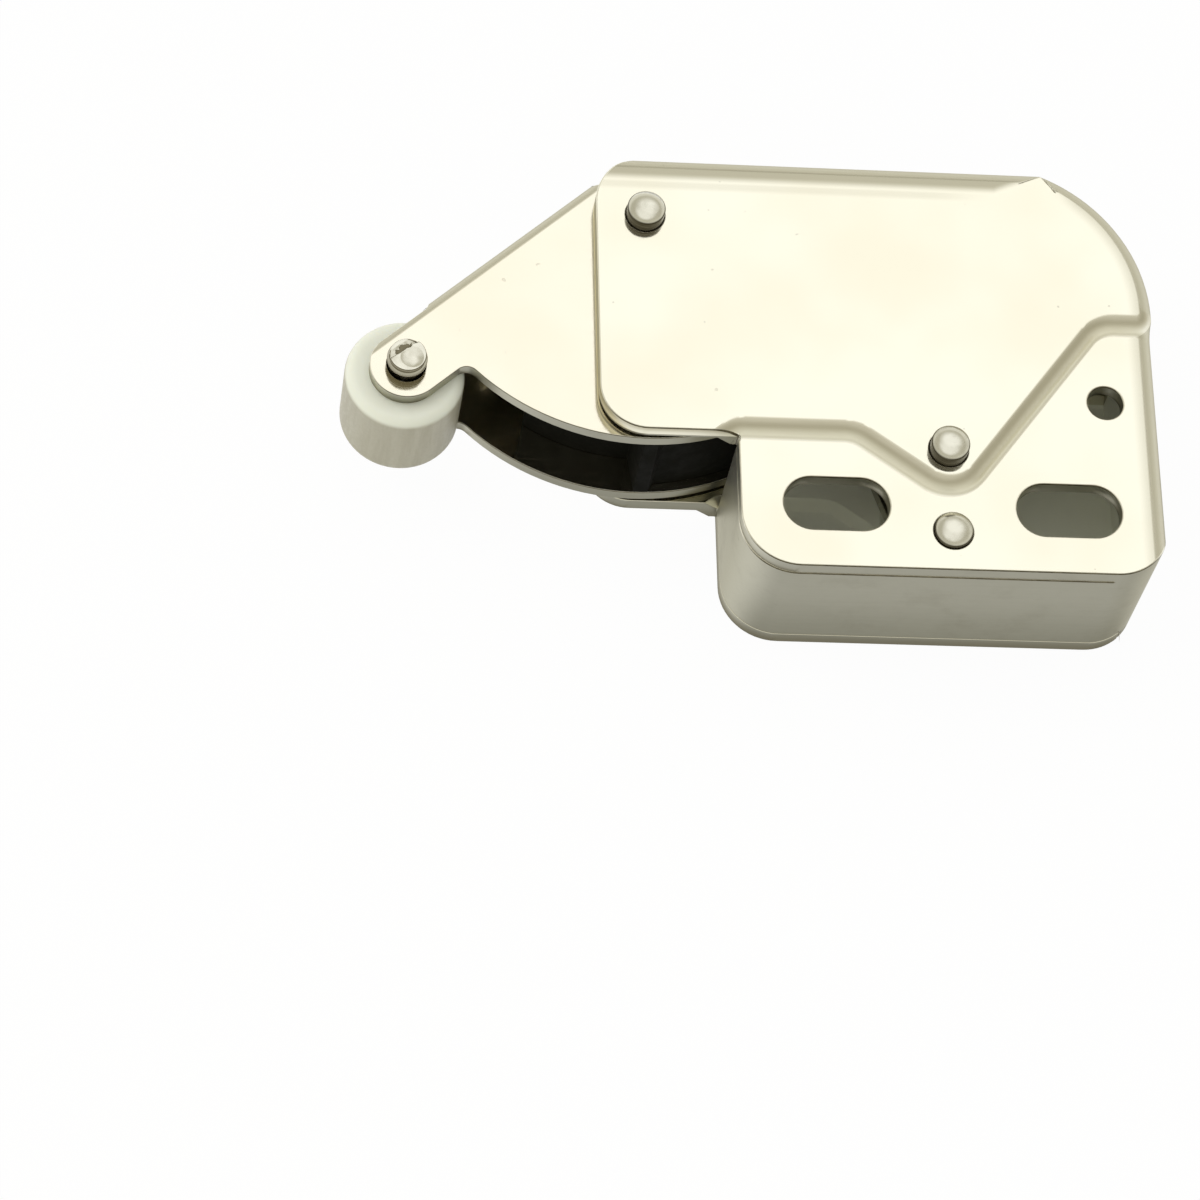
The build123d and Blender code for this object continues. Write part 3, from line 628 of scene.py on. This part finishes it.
@dataclass(frozen=True)
class Nylon(Finish):
    """Moulded nylon: slightly translucent, with a soft gloss and a faint moulded texture. Its sides carry
    painted shade.
    """

    colour: Colour = (0.800, 0.825, 0.745)
    # Faint real stains in clouds, and the colour of the painted shade on the sides.
    stain_and_shade: Colour = (0.340, 0.315, 0.235)
    roughness: float = 0.42
    cloud_scale: float = 330.0
    grain_scale: float = 4200.0
    drag_stretch: Triple = (1500.0, 1500.0, 130.0)
    grain_depth: float = 0.000003
    drag_depth: float = 0.000012
    scatter: float = 0.25
    scatter_radius: Triple = (1.0, 0.9, 0.7)
    scatter_depth: float = 0.6 * MM
    refraction: float = 1.53

    def mix(self, bench: Bench, shader: bpy.types.Node) -> None:
        """Sets the shader's sockets.

        Args:
            bench: the material's node bench.
            shader: its main shader.
        """
        cloud = bench.cloud(self.cloud_scale, 4.0, 0.6)
        grain = bench.cloud(self.grain_scale, 3.0, 0.6)
        drag = bench.cloud(1.0, 3.0, 0.65, bench.shift(self.drag_stretch))
        # Painted shade: the sides are mostly given the darker colour, streaked along the axis, for the shade
        # that falls on them.
        side = bench.span(bench.facing("Z"), 0.05, 0.60, 1.0, 0.0)
        shaded_side = bench.sum("MULTIPLY", side, bench.span(drag, 0.25, 0.80, 0.76, 0.92))
        base = bench.tint(bench.span(cloud, 0.4, 0.75, 0.0, 0.08), self.colour, self.stain_and_shade)
        bench.feed(bench.tint(shaded_side, base, self.stain_and_shade), shader.inputs["Base Color"])
        bench.feed(bench.span(grain, 0.3, 0.7, self.roughness - 0.06, self.roughness + 0.12),
                   shader.inputs["Roughness"])
        shader.inputs["Subsurface Weight"].default_value = self.scatter
        shader.inputs["Subsurface Radius"].default_value = self.scatter_radius
        shader.inputs["Subsurface Scale"].default_value = self.scatter_depth
        shader.inputs["IOR"].default_value = self.refraction
        normal = bench.relief(drag, self.drag_depth, bench.relief(grain, self.grain_depth))
        bench.feed(normal, shader.inputs["Normal"])


@dataclass(frozen=True)
class BlackAcetal(Finish):
    """Black moulded plastic, near matt."""

    colour: Colour = (0.0050, 0.0050, 0.0035)
    dust: Colour = (0.014, 0.012, 0.008)
    roughness: float = 0.78
    specular: float = 0.06
    dust_scale: float = 700.0
    grain_scale: float = 5200.0
    grain_depth: float = 0.000006

    def mix(self, bench: Bench, shader: bpy.types.Node) -> None:
        """Sets the shader's sockets.

        Args:
            bench: the material's node bench.
            shader: its main shader.
        """
        cloud = bench.cloud(self.dust_scale, 5.0, 0.65)
        grain = bench.cloud(self.grain_scale, 2.0, 0.5)
        bench.feed(bench.tint(bench.span(cloud, 0.56, 0.80, 0.0, 0.6), self.colour, self.dust),
                   shader.inputs["Base Color"])
        bench.feed(bench.span(cloud, 0.3, 0.75, self.roughness - 0.08, self.roughness + 0.15),
                   shader.inputs["Roughness"])
        shader.inputs["Specular IOR Level"].default_value = self.specular
        bench.feed(bench.relief(grain, self.grain_depth), shader.inputs["Normal"])


@dataclass
class CadPiece:
    """A carried-over CAD node: its finish, how far its cut edges are broken and when its flats are merged."""

    node: str
    finish: Finish
    edge: float = 0.0
    angle: float = 38.0
    rim: Finish | None = None
    flats_first: bool = True
    weld: float = 0.001 * MM
    flat_angle: float = 0.4

    def dress(self) -> None:
        """Gives the node its material and the small rounds of its edges."""
        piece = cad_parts[self.node]
        for slot in piece.material_slots:
            slot.material = self.finish.material()
        if self.rim is not None:
            piece.data.materials.append(self.rim.material())
        if self.edge > 0.0:
            self.break_edges(piece)
        log.info("%s: %s, edges broken by %.2f mm", self.node, self.finish.name, self.edge / MM)

    def break_edges(self, piece: bpy.types.Object) -> None:
        """Rounds the edges with modifiers, which leave the CAD mesh as it is.

        Args:
            piece: the node's object.
        """
        weld = piece.modifiers.new("joined", "WELD")
        weld.merge_threshold = self.weld
        if self.flats_first:
            self.merge_flats(piece)
        bevel = piece.modifiers.new("broken_edges", "BEVEL")
        bevel.width = self.edge
        bevel.segments = 2
        bevel.limit_method = "ANGLE"
        bevel.angle_limit = math.radians(self.angle)
        bevel.use_clamp_overlap = False
        bevel.miter_outer = "MITER_ARC"
        if self.rim is not None:
            bevel.material = len(piece.material_slots) - 1
        if not self.flats_first:
            self.merge_flats(piece)
        evened = piece.modifiers.new("evened", "WEIGHTED_NORMAL")
        evened.mode = "FACE_AREA"
        evened.weight = 60
        evened.keep_sharp = False

    def merge_flats(self, piece: bpy.types.Object) -> None:
        """Joins the triangles of each flat face, so that the face reflects evenly.

        Args:
            piece: the node's object.
        """
        flats = piece.modifiers.new("flats", "DECIMATE")
        flats.decimate_type = "DISSOLVE"
        flats.angle_limit = math.radians(self.flat_angle)


@dataclass
class PeenedPin:
    """The roller's pin, whose front end is hammered over: a dished face, a torn lip, a groove and a burr."""

    node: str = "roller_pin"
    body: str = "arm"
    rings: int = 26
    sectors: int = 112
    face: float = 0.90
    dish: tuple[float, float, float, float] = (0.22, 0.16, 0.62, 0.16 * MM)
    lip_turn: float = 128.0
    lip_start: float = 0.30
    lip_drop: float = 0.42 * MM
    stand: float = 0.25 * MM
    steep: float = 0.80
    burr: float = 1.045
    face_depth: float = 0.5 * MM
    fade_depth: float = 0.34
    settle: float = 0.04 * MM
    # The third entry of each ring marks the faces above it as painted dark: a painted shade in the groove and
    # down the shank.
    neck: tuple[tuple[float, float, bool], ...] = (
        (0.93, 0.04, False), (0.960, 0.12, False), (0.955, 0.34, False), (0.915, 0.40, True),
        (0.900, 0.48, True), (0.930, 0.56, True), (1.010, 0.60, False), (1.045, 0.68, False),
        (1.045, 0.80, False), (1.000, 0.88, True), (0.960, 0.92, True), (0.960, 10.90, True),
        (0.900, 11.20, False), (0.820, 11.40, False),
    )
    head: Finish = TurnedSteel(Slot.RIVET, "peened_head", bright=(0.80, 0.785, 0.68), dull=(0.50, 0.48, 0.39),
                               side_shade=(0.34, 0.32, 0.25), roughness=0.20)
    # Painted shade: this dark finish goes on the groove, the shank and the steep and torn faces of the head.
    shank: Finish = TurnedSteel(Slot.RIVET, "shank_painted_shade", bright=(0.20, 0.18, 0.12), dull=(0.14, 0.13, 0.08),
                                side_shade=(0.15, 0.13, 0.08))

    def drop(self, x: float, y: float) -> float:
        """How far the hammered face lies below the pin's tip.

        Args:
            x: distance from the axis, as a share of the radius.
            y: distance from the axis, as a share of the radius.

        Returns:
            The drop in metres.
        """
        across = math.hypot(x, y)
        at_x, at_y, reach, depth = self.dish
        hollow = max(0.0, 1.0 - (math.hypot(x - at_x, y + at_y) / reach) ** 2) * depth
        turn = math.radians(self.lip_turn)
        ragged = 0.10 * noise.noise(Vector((x, y, 0)) * 3)
        beyond = x * math.cos(turn) + y * math.sin(turn) - self.lip_start + ragged
        healed = 1.0 - 0.55 * min(1.0, max(0.0, beyond / 0.45))
        torn = min(1.0, max(0.0, beyond / 0.07)) * self.lip_drop * healed
        ripple = noise.noise(Vector((x, y, 3.0)) * 2.6) * 0.020 * MM
        return hollow + torn + ripple + 0.05 * MM + 0.05 * MM * across * across

    def torn(self, x: float, y: float) -> bool:
        """Tells whether a spot of the face lies in the dark hollow where the lip tore.

        Args:
            x: distance from the axis, as a share of the radius.
            y: distance from the axis, as a share of the radius.

        Returns:
            True inside the hollow.
        """
        turn = math.radians(self.lip_turn)
        along = x * math.cos(turn) + y * math.sin(turn) - self.lip_start
        across = y * math.cos(turn) - x * math.sin(turn)
        ragged = 0.16 * noise.noise(Vector((x, y, 1.0)) * 5.0)
        return 0.05 < along + ragged < 0.36 - 0.25 * abs(across + 0.10) and abs(across + 0.10) < 0.52 + ragged

    def ring(self, mesh: bmesh.types.BMesh, centre: Vector, reach: float,
             levels: list[float]) -> list[bmesh.types.BMVert]:
        """Adds one ring of points round the pin's axis.

        Args:
            mesh: the mesh being built.
            centre: the axis, at the pin's tip.
            reach: the ring's radius in metres.
            levels: how far below the tip each point lies, in metres.

        Returns:
            The ring's points.
        """
        turns = [2 * math.pi * sector / self.sectors for sector in range(self.sectors)]
        points = [(centre.x + reach * math.cos(t), centre.y + reach * math.sin(t), centre.z - level)
                  for t, level in zip(turns, levels)]
        return [mesh.verts.new(point) for point in points]

    def loops(self, mesh: bmesh.types.BMesh, tip: Vector,
              radius: float) -> list[tuple[list[bmesh.types.BMVert], bool]]:
        """Adds the rings of the hammered face and of the neck and shank under it.

        Args:
            mesh: the mesh being built.
            tip: the axis, at the pin's tip.
            radius: the shank's radius in metres.

        Returns:
            Each ring's points, and whether the faces above it are dark.
        """
        loops = []
        turns = [2 * math.pi * s / self.sectors for s in range(self.sectors)]
        for ring in range(1, self.rings + 1):
            share = self.face * ring / self.rings
            levels = [self.drop(share * math.cos(t), share * math.sin(t)) for t in turns]
            loops.append((self.ring(mesh, tip, share * radius, levels), False))
        rim = [tip.z - point.co.z for point in loops[-1][0]]
        for share, depth, dark in self.neck:
            fade = max(0.0, 1.0 - depth / self.fade_depth)
            levels = [depth * MM + fade * max(0.0, level - self.settle) for level in rim]
            loops.append((self.ring(mesh, tip, share * radius, levels), dark))
        return loops

    def stain_and_shade(self, mesh: bmesh.types.BMesh, tip: Vector, radius: float) -> None:
        """Gives the steep and torn faces of the head the shank's dark finish, a painted shade for the dark
        that these faces mirror.

        Args:
            mesh: the mesh being built.
            tip: the axis, at the pin's tip.
            radius: the shank's radius in metres.
        """
        for facet in mesh.faces:
            spot = (facet.calc_center_median() - tip) / radius
            steep = 0.0 < facet.normal.z < self.steep
            on_face = spot.z * radius > -self.face_depth and facet.normal.z > 0.0
            if on_face and (steep or self.torn(spot.x, spot.y)):
                facet.material_index = 1

    def build(self) -> None:
        """Builds the pin around the CAD node's axis and lets it stand for the node."""
        low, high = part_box(self.node)
        tip = Vector((*middle(low, high), high.z + self.stand))
        radius = min(high.x - low.x, high.y - low.y) / 2 / self.burr
        mesh = bmesh.new()
        loops = self.loops(mesh, tip, radius)
        crown = mesh.verts.new((tip.x, tip.y, tip.z - self.drop(0.0, 0.0)))
        for s in range(self.sectors):
            mesh.faces.new((crown, loops[0][0][s], loops[0][0][(s + 1) % self.sectors]))
        for (inner, _), (outer, dark) in zip(loops, loops[1:]):
            for s in range(self.sectors):
                t = (s + 1) % self.sectors
                mesh.faces.new((inner[s], outer[s], outer[t], inner[t])).material_index = int(dark)
        mesh.faces.new(list(reversed(loops[-1][0])))
        bmesh.ops.recalc_face_normals(mesh, faces=mesh.faces)
        self.stain_and_shade(mesh, tip, radius)
        piece = place_mesh("peened_roller_pin", mesh, [self.head.material(), self.shank.material()])
        piece.data.shade_smooth()
        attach(piece, self.body)
        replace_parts(piece, self.node)
        log.info("peened_roller_pin: %d faces for %s", len(piece.data.polygons), self.node)


@dataclass
class ArmSpring:
    """The arm's spring: its coil stays in the case and its upper leg goes with the arm that it presses.

    The leg's wire runs back inside the coil's last turn by a little more than the arm's whole swing, so
    it slides out of the coil as the arm moves and the wire never opens.
    """

    node: str = "arm_spring"
    axis: str = "arm_rivet"
    coil_reach: float = 3.6 * MM
    weld: float = 0.001 * MM
    lap: float = math.radians(41.0)
    lap_steps: int = 16

    def lap_back(self, mesh: bmesh.types.BMesh, centre: Vector) -> None:
        """Runs the leg's wire back round the coil's axis, from where it was cut off.

        Args:
            mesh: the leg's mesh, open at the cut.
            centre: a point on the coil's axis.
        """
        seam = [tuple(edge.verts) for edge in mesh.edges if edge.is_boundary]
        turn = Matrix.Rotation(-self.lap / self.lap_steps, 4, "Z")
        back = Matrix.Translation(centre) @ turn @ Matrix.Translation(-centre)
        last = {vert: vert for pair in seam for vert in pair}
        for _ in range(self.lap_steps):
            following = {root: mesh.verts.new(back @ vert.co) for root, vert in last.items()}
            for start, end in seam:
                mesh.faces.new((last[start], last[end], following[end], following[start]))
            last = following

    def half(self, name: str, body: str, leg: bool, wire: Finish) -> bpy.types.Object:
        """Takes the coil or the leg out of the spring, closed where the two meet.

        Args:
            name: the new piece's name.
            body: the body it rides on.
            leg: True for the leg, False for the coil.
            wire: the spring's finish.

        Returns:
            The new piece.
        """
        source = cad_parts[self.node]
        low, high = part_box(self.axis)
        spring_low, spring_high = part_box(self.node)
        centre = Vector((*middle(low, high), (spring_low.z + spring_high.z) / 2))
        mesh = bmesh.new()
        mesh.from_mesh(source.data)
        mesh.transform(source.matrix_world)
        bmesh.ops.remove_doubles(mesh, verts=mesh.verts, dist=self.weld)
        outer = {vert for vert in mesh.verts if vert.co.z > centre.z
                 and math.hypot(vert.co.x - centre.x, vert.co.y - centre.y) > self.coil_reach}
        unwanted = [face for face in mesh.faces if any(vert in outer for vert in face.verts) != leg]
        bmesh.ops.delete(mesh, geom=unwanted, context="FACES")
        if leg:
            self.lap_back(mesh, centre)
        bmesh.ops.holes_fill(mesh, edges=[edge for edge in mesh.edges if edge.is_boundary])
        bmesh.ops.recalc_face_normals(mesh, faces=mesh.faces)
        piece = place_mesh(name, mesh, [wire.material()])
        piece.data.shade_smooth()
        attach(piece, body)
        log.info("%s: %d faces, rides on %s", name, len(piece.data.polygons), body)
        return piece

    def build(self, wire: Finish) -> None:
        """Builds both halves and lets the coil stand for the node.

        Args:
            wire: the spring's finish.
        """
        self.half("arm_spring_leg", "arm", True, wire)
        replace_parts(self.half("arm_spring_coil", "case", False, wire), self.node)


@dataclass
class Case:
    """The two folded plates, the rivets that hold them and what turns on the rivets."""

    plate: Finish = NickelPlate(Slot.CASE, "case_nickel")
    rivet: Finish = TurnedSteel(Slot.RIVET, "rivet_nickel")
    bush: Finish = TurnedSteel(Slot.BUSH, "bush_zinc", bright=(0.50, 0.49, 0.43), dull=(0.22, 0.21, 0.18))
    wire: Finish = SpringWire(Slot.SPRING, "spring_wire")
    washer: Finish = Nylon(Slot.WASHER, "washer_nylon_white", stain_and_shade=(0.70, 0.69, 0.60))
    sheared: Finish = ShearedEdge(Slot.CASE, "case_sheared_edge")
    edge: float = 0.11 * MM
    sprung: ArmSpring = field(default_factory=ArmSpring)

    def crowned(self, node: str) -> Finish:
        """Fits the rivet finish's crown to one rivet.

        Args:
            node: the rivet's node.

        Returns:
            The finish with its crown over the rivet's axis.
        """
        low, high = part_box(node)
        crown = (*middle(low, high), (high.x - low.x) / 2)
        return replace(self.rivet, name=f"{self.rivet.name}_{node}", crown=crown)

    def pieces(self) -> list[CadPiece]:
        """Returns the case's nodes with their finishes."""
        plates = [CadPiece("case_front", self.plate, self.edge, rim=self.sheared),
                  CadPiece("case_back", self.plate, self.edge / 2)]
        rivets = [CadPiece(n, self.crowned(n), 0.05 * MM) for n in ("arm_rivet", "lever_rivet", "foot_rivet")]
        steel = [CadPiece(n, self.bush) for n in ("arm_bush", "lever_bush", "foot_spacer")]
        rings = [CadPiece(n, self.washer) for n in ("arm_washer_back", "arm_washer_front",
                                                    "lever_spacer_back", "lever_spacer_front")]
        return plates + rivets + steel + rings + [CadPiece("lever_spring", self.wire)]

    def build(self) -> None:
        """Dresses every node of the case and parts the arm's spring at its moving leg."""
        for piece in self.pieces():
            piece.dress()
        self.sprung.build(self.wire)


@dataclass
class Arm:
    """The folded arm with its roller, pin and the black cam between its cheeks."""

    plate: Finish = NickelPlate(Slot.ARM, "arm_nickel", bright=(0.95, 0.91, 0.77), warm=(0.93, 0.875, 0.72))
    tyre: Finish = Nylon(Slot.ROLLER, "roller_nylon_white")
    cam: Finish = BlackAcetal(Slot.CAM, "cam_black")
    pin: Finish = TurnedSteel(Slot.RIVET, "cam_pin_steel")
    sheared: Finish = ShearedEdge(Slot.ARM, "arm_sheared_edge")
    peened: PeenedPin = field(default_factory=PeenedPin)

    def build(self) -> None:
        """Dresses the arm's nodes and builds its peened pin."""
        for piece in (CadPiece("arm", self.plate, 0.06 * MM, rim=self.sheared, flats_first=False),
                      CadPiece("roller", self.tyre),
                      CadPiece("cam_block", self.cam, 0.08 * MM), CadPiece("cam_pin_lower", self.pin),
                      CadPiece("cam_pin_upper", self.pin)):
            piece.dress()
        self.peened.build()


@dataclass
class Lever:
    """The latching lever with its nose roller, inside the case."""

    steel: Finish = TurnedSteel(Slot.LEVER, "lever_zinc", bright=(0.52, 0.51, 0.45), dull=(0.34, 0.33, 0.28),
                                side_shade=(0.36, 0.35, 0.29))
    pin: Finish = TurnedSteel(Slot.RIVET, "nose_pin_steel")
    tyre: Finish = Nylon(Slot.ROLLER, "nose_nylon_white")

    def build(self) -> None:
        """Dresses the lever's nodes."""
        for piece in (CadPiece("lever", self.steel, 0.06 * MM), CadPiece("nose_pin", self.pin),
                      CadPiece("nose_roller", self.tyre)):
            piece.dress()


@dataclass
class Studio:
    """A white floor, a bright sky with a dimmer horizon, one soft lamp and the camera."""

    floor_size: float = 3.0
    floor_white: float = 0.96
    window: Colour = (1.10, 1.095, 1.07)
    room: Colour = (0.530, 0.510, 0.430)
    front: Colour = (0.900, 0.885, 0.800)
    horizon: Colour = (0.800, 0.785, 0.710)
    zenith: float = 0.80
    aim: Triple = (0.169, 0.475, 0.864)
    window_reach: Pair = (30.0, 14.0)
    lamp_size: float = 0.9
    lamp_energy: float = 4.6
    lamp_colour: Colour = (1.0, 0.985, 0.95)
    lamp_place: Triple = (-0.80, 0.20, 0.75)
    floor_gap: float = 0.02 * MM
    paper: Colour = (0.93, 0.93, 0.91)
    eye: Vector = field(default_factory=lambda: Vector((-0.05759463, -0.13916124, 0.28622422)))
    turn: Triple = (25.59262601, -6.36501885, -1.18798336)
    lens: float = 137.9465

    def sky(self) -> None:
        """Lights the room: a bright window high on the far side, tan walls, dimmer low down in front."""
        world = bpy.data.worlds.new("room")
        bpy.context.scene.world = world
        world.use_nodes = True
        bench = Bench(world.node_tree)
        split = bench.add("ShaderNodeSeparateXYZ")
        bench.feed(bench.coordinates.outputs["Generated"], split.inputs["Vector"])
        towards = bench.add("ShaderNodeVectorMath", operation="DOT_PRODUCT")
        bench.feed(bench.coordinates.outputs["Generated"], towards.inputs[0])
        towards.inputs[1].default_value = Vector(self.aim).normalized()
        near = bench.sum("MULTIPLY", bench.span(split.outputs["Y"], 0.10, -0.80),
                         bench.span(split.outputs["Z"], 0.85, 0.20))
        walls = bench.tint(near, self.room, self.front)
        walls = bench.tint(bench.span(split.outputs["Z"], 0.52, 0.28), walls, self.horizon)
        outer, inner = (math.cos(math.radians(angle)) for angle in self.window_reach)
        lit = bench.span(towards.outputs["Value"], outer, inner)
        overhead = bench.sum("MULTIPLY", bench.span(split.outputs["Z"], 0.80, 0.965), self.zenith)
        lit = bench.sum("MAXIMUM", lit, overhead)
        glow = bench.add("ShaderNodeBackground")
        bench.feed(bench.tint(lit, walls, self.window), glow.inputs["Color"])
        out = bench.add("ShaderNodeOutputWorld")
        bench.feed(glow.outputs["Background"], out.inputs["Surface"])

    def lamp(self) -> None:
        """Hangs one large soft lamp over the left of the far side, which metal doesn't mirror."""
        light = bpy.data.lights.new("softbox", "AREA")
        light.shape = "SQUARE"
        light.size = self.lamp_size
        light.energy = self.lamp_energy
        light.color = self.lamp_colour
        holder = bpy.data.objects.new("softbox", light)
        holder.location = self.lamp_place
        holder.rotation_euler = (-holder.location).to_track_quat("-Z", "Y").to_euler()
        holder.visible_glossy = False
        bpy.context.scene.collection.objects.link(holder)

    def sheet(self) -> bpy.types.Material:
        """Makes the floor's paper, which is white to the camera and takes the catch's shadow."""
        paper = bpy.data.materials.new("white_paper")
        paper.use_nodes = True
        bench = Bench(paper.node_tree)
        path = bench.add("ShaderNodeLightPath")
        mirrored = bench.sum("MAXIMUM", path.outputs["Is Glossy Ray"], path.outputs["Is Transmission Ray"])
        seen = bench.sum("MAXIMUM", path.outputs["Is Camera Ray"], mirrored)
        matt = bench.add("ShaderNodeBsdfDiffuse")
        bench.feed(self.paper, matt.inputs["Color"])
        white = bench.add("ShaderNodeEmission")
        white.inputs["Strength"].default_value = 1.0
        blend = bench.add("ShaderNodeMixShader")
        bench.feed(bench.sum("MULTIPLY", seen, self.floor_white), blend.inputs["Fac"])
        bench.feed(matt.outputs["BSDF"], blend.inputs[1])
        bench.feed(white.outputs["Emission"], blend.inputs[2])
        clear = bench.add("ShaderNodeBsdfTransparent")
        side = bench.add("ShaderNodeMixShader")
        bench.feed(bench.add("ShaderNodeNewGeometry").outputs["Backfacing"], side.inputs["Fac"])
        bench.feed(blend.outputs["Shader"], side.inputs[1])
        bench.feed(clear.outputs["BSDF"], side.inputs[2])
        out = bench.add("ShaderNodeOutputMaterial")
        bench.feed(side.outputs["Shader"], out.inputs["Surface"])
        return paper

    def floor(self) -> None:
        """Lays the white floor under the case, clear when looked at from below."""
        mesh = bmesh.new()
        bmesh.ops.create_grid(mesh, x_segments=1, y_segments=1, size=self.floor_size)
        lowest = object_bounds()[0][2]
        piece = place_mesh("floor", mesh, [self.sheet()])
        piece.location.z = lowest - self.floor_gap
        piece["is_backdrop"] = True

    def camera(self) -> None:
        """Sets up the camera over the left of the near side."""
        data = bpy.data.cameras.new("camera")
        data.lens = self.lens
        data.sensor_width = SENSOR
        data.clip_start = 0.01
        data.clip_end = 20.0
        holder = bpy.data.objects.new("camera", data)
        holder.location = self.eye
        holder.rotation_euler = [math.radians(a) for a in self.turn]
        bpy.context.scene.collection.objects.link(holder)
        bpy.context.scene.camera = holder

    def build(self) -> None:
        """Sets the whole studio up."""
        bpy.context.scene.view_settings.view_transform = "Standard"
        self.camera()
        self.sky()
        self.lamp()
        self.floor()
        log.info("studio: floor, sky, lamp and camera")


def main() -> None:
    """Builds and dresses the catch in order, then sets up the studio."""
    logging.basicConfig(level=logging.INFO, format="%(name)s %(message)s")
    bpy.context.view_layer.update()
    for part in (Case(), Arm(), Lever(), Studio()):
        part.build()


if __name__ == "__main__":
    main()
